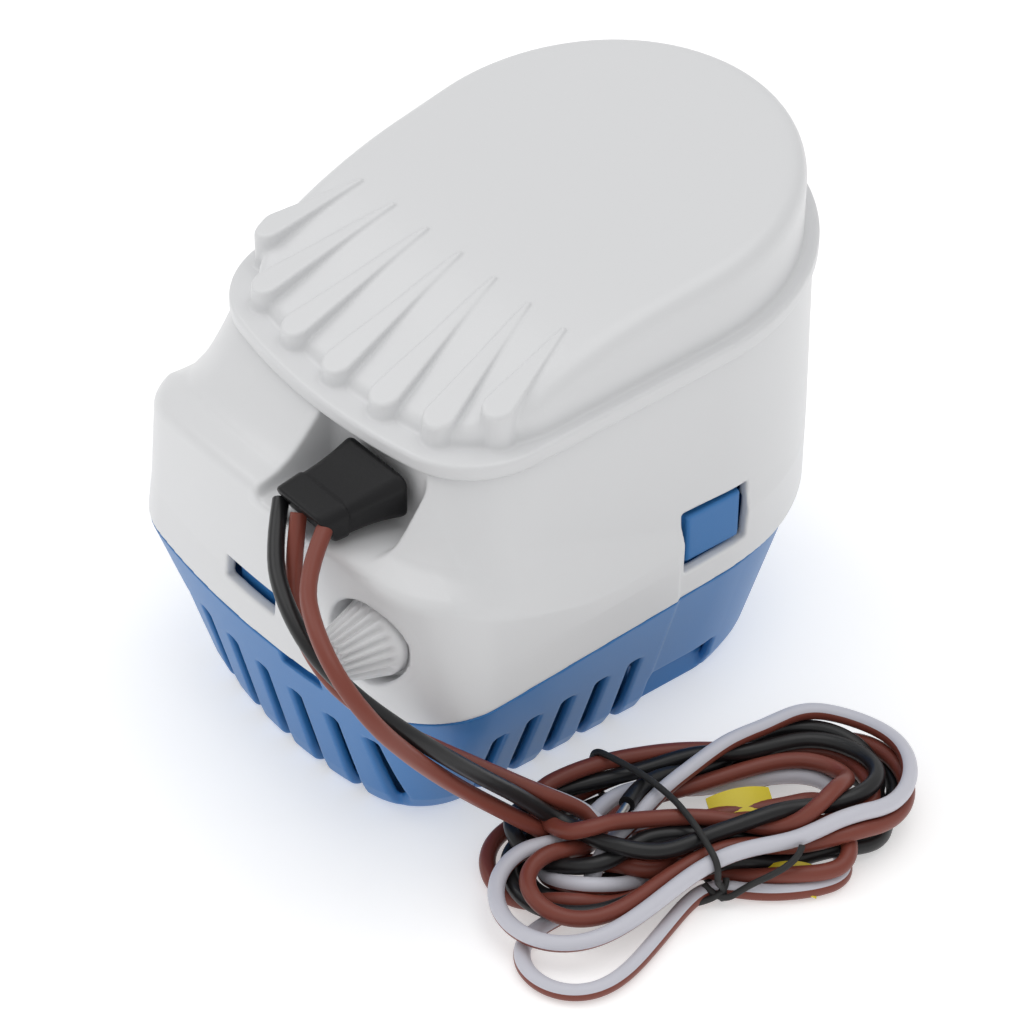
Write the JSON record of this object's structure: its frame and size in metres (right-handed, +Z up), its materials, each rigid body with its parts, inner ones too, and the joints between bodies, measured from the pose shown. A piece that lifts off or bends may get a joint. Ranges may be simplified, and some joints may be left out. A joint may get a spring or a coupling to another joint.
{
  "type": "automatic bilge pump",
  "caption": "Automatic submersible bilge pump: white D-shaped housing on a slotted blue strainer base, test knob, rear hose tail and a tied hank of leads.",
  "frame": {"origin": "where the motor axis meets the floor under the strainer base", "axes": "+Z up along the motor axis, -Y towards the square end with the wire boot and the test knob, -X along the hose tail"},
  "size_m": [0.1669, 0.1351, 0.1049],
  "materials": {
    "base_blue": "smooth moulded, soft gloss",
    "housing_white": "smooth moulded, soft gloss",
    "cap_white": "smooth moulded, soft gloss",
    "seal_rubber": "matt",
    "screw_steel": "plain",
    "motor_steel": "zinc plated",
    "ferrite": "ceramic magnet",
    "bell_plastic": "moulded",
    "bush_bronze": "sintered",
    "carbon": "pressed carbon",
    "spring_steel": "bright",
    "terminal_brass": "tinned",
    "shaft_steel": "ground",
    "core_iron": "laminated",
    "winding_copper": "enamelled copper wire",
    "commutator_copper": "turned copper",
    "impeller_plastic": "moulded",
    "cover_plastic": "moulded",
    "outlet_plastic": "smooth moulded",
    "knob_white": "smooth moulded",
    "arm_plastic": "moulded",
    "float_foam": "closed-cell foam",
    "reed_glass": "clear",
    "board_green": "solder mask",
    "relay_black": "moulded",
    "boot_rubber": "satin",
    "lead_black": "satin insulation",
    "lead_brown_white": "satin insulation, one half of it white",
    "lead_brown": "satin insulation",
    "hank_brown": "satin insulation",
    "tie_black": "plastic-coated wire",
    "label_yellow": "plain tape",
    "tinned_copper": "tinned strands"
  },
  "bodies": {
    "pump": {"strainer_base": "base_blue", "pump_housing": "housing_white", "top_cap": "cap_white", "cap_gasket": "seal_rubber", "cap_screws": "screw_steel", "motor_can": "motor_steel", "motor_magnets": "ferrite", "motor_end_bell": "bell_plastic", "lower_bushing": "bush_bronze", "upper_bushing": "bush_bronze", "carbon_brushes": "carbon", "brush_springs": "spring_steel", "motor_terminals": "terminal_brass", "shaft_seal": "seal_rubber", "volute_cover": "cover_plastic", "volute_screws": "screw_steel", "outlet_barb": "outlet_plastic", "outlet_o_ring": "seal_rubber", "knob_o_ring": "seal_rubber", "reed_switch": "reed_glass", "control_board": "board_green", "board_relay": "relay_black", "wire_boot": "boot_rubber", "black_lead": "lead_black", "brown_white_lead": "lead_brown_white", "brown_lead": "lead_brown", "lead_hank": "hank_brown", "twist_tie": "tie_black", "lead_label": "label_yellow", "bare_ends": "tinned_copper"},
    "rotor": {"motor_shaft": "shaft_steel", "armature_core": "core_iron", "armature_windings": "winding_copper", "commutator": "commutator_copper", "impeller": "impeller_plastic"},
    "float_lever": {"test_knob": "knob_white", "float_arm": "arm_plastic", "float_body": "float_foam", "float_magnet": "ferrite"}
  },
  "joints": [
    {"name": "rotor_spin", "type": "hinge", "parent": "pump", "child": "rotor", "pos_m": [0, 0, 0.05], "axis": [0, 0, 1], "continuous": true},
    {"name": "float_lift", "type": "hinge", "parent": "pump", "child": "float_lever", "pos_m": [0.03, -0.05, 0.048], "axis": [0, 1, 0], "range_deg": [0, 22]}
  ]
}
